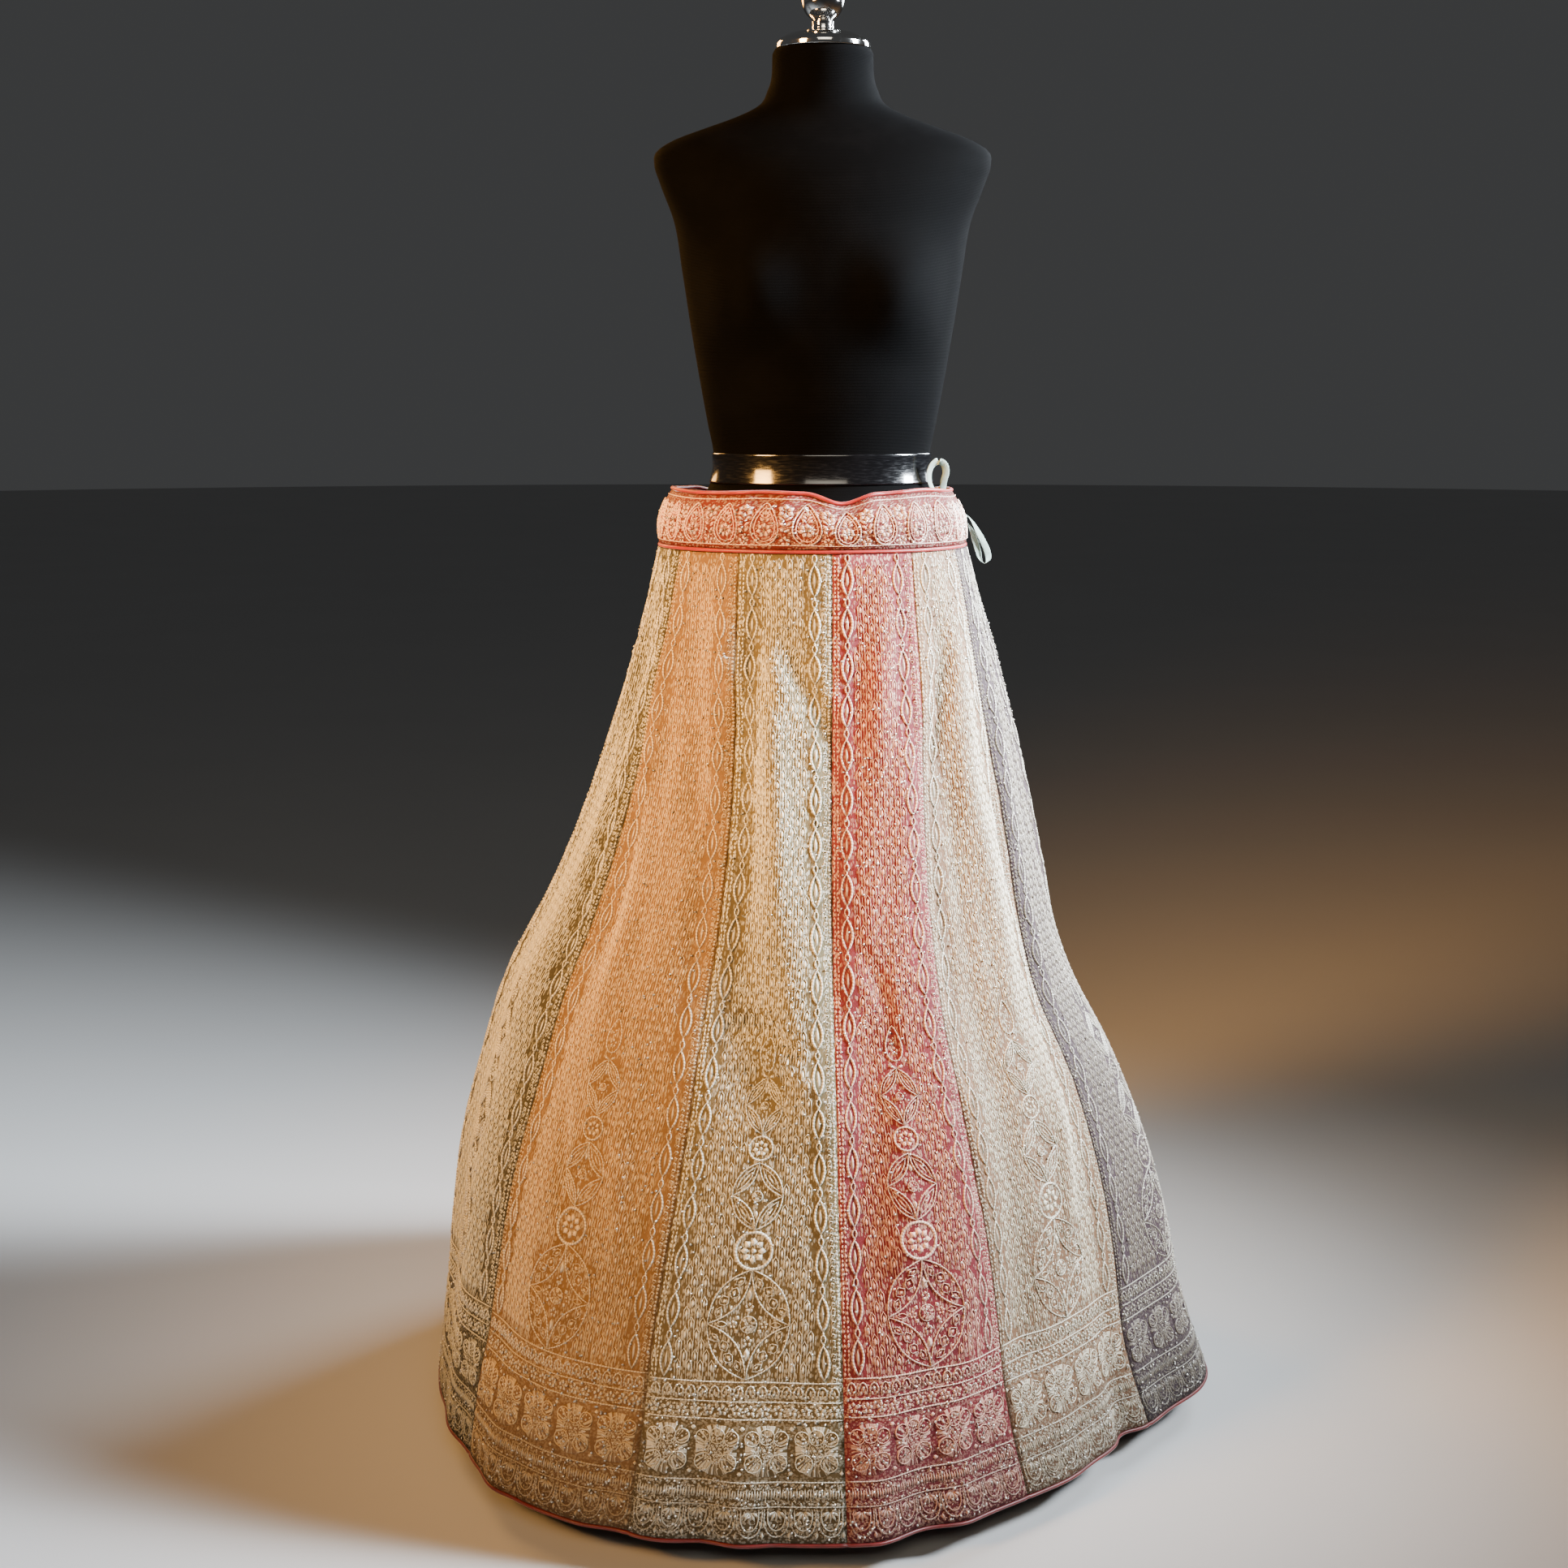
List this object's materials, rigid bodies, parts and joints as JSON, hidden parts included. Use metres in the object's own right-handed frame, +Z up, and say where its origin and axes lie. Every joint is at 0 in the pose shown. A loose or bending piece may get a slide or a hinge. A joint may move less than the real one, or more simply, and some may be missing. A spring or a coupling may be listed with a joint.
{
  "type": "lehenga skirt on dress form",
  "caption": "Flared floor-length panelled lehenga skirt with waistband, piping and drawstring, worn by a limbless dress form on a pole and round base.",
  "frame": {"origin": "centre of the stand's base on the surface it stands on", "axes": "+Z up; the skirt's front faces -Y; +X is to the right seen from the front"},
  "size_m": [0.9403, 0.9333, 1.662],
  "materials": {
    "embroidered_coral": "coral pink cloth under cream raised thread and gold",
    "embroidered_peach": "peach beige cloth under cream raised thread and gold",
    "embroidered_mauve": "mauve cloth under cream raised thread and gold",
    "embroidered_sage": "grey olive cloth under cream raised thread and gold",
    "embroidered_tan": "tan orange cloth under cream raised thread and gold",
    "embroidered_olive": "olive beige cloth under cream raised thread and gold",
    "embroidered_red": "coral red band under cream and gold leaf motifs",
    "red_piping": "satin covered cord",
    "mint_tape": "flat woven tape",
    "black_jersey": "matte stretch cloth over a hard form",
    "gloss_black": "glossy",
    "chrome": "polished",
    "black_metal": "satin powder coat"
  },
  "bodies": {
    "root": {"panel_01_coral": "embroidered_coral", "panel_02_peach": "embroidered_peach", "panel_03_mauve": "embroidered_mauve", "panel_04_sage": "embroidered_sage", "panel_05_tan": "embroidered_tan", "panel_06_olive": "embroidered_olive", "panel_07_coral": "embroidered_coral", "panel_08_peach": "embroidered_peach", "panel_09_mauve": "embroidered_mauve", "panel_10_sage": "embroidered_sage", "panel_11_tan": "embroidered_tan", "panel_12_olive": "embroidered_olive", "hem_piping": "red_piping", "waistband": "embroidered_red", "waistband_piping_top": "red_piping", "waistband_piping_bottom": "red_piping", "drawstring_knot": "mint_tape", "drawstring_upper_loop": "mint_tape", "drawstring_lower_loop": "mint_tape", "form_torso": "black_jersey", "form_waist_belt": "gloss_black", "form_neck_cap": "chrome", "form_finial": "chrome", "stand_pole": "black_metal", "stand_base": "black_metal"}
  },
  "joints": []
}
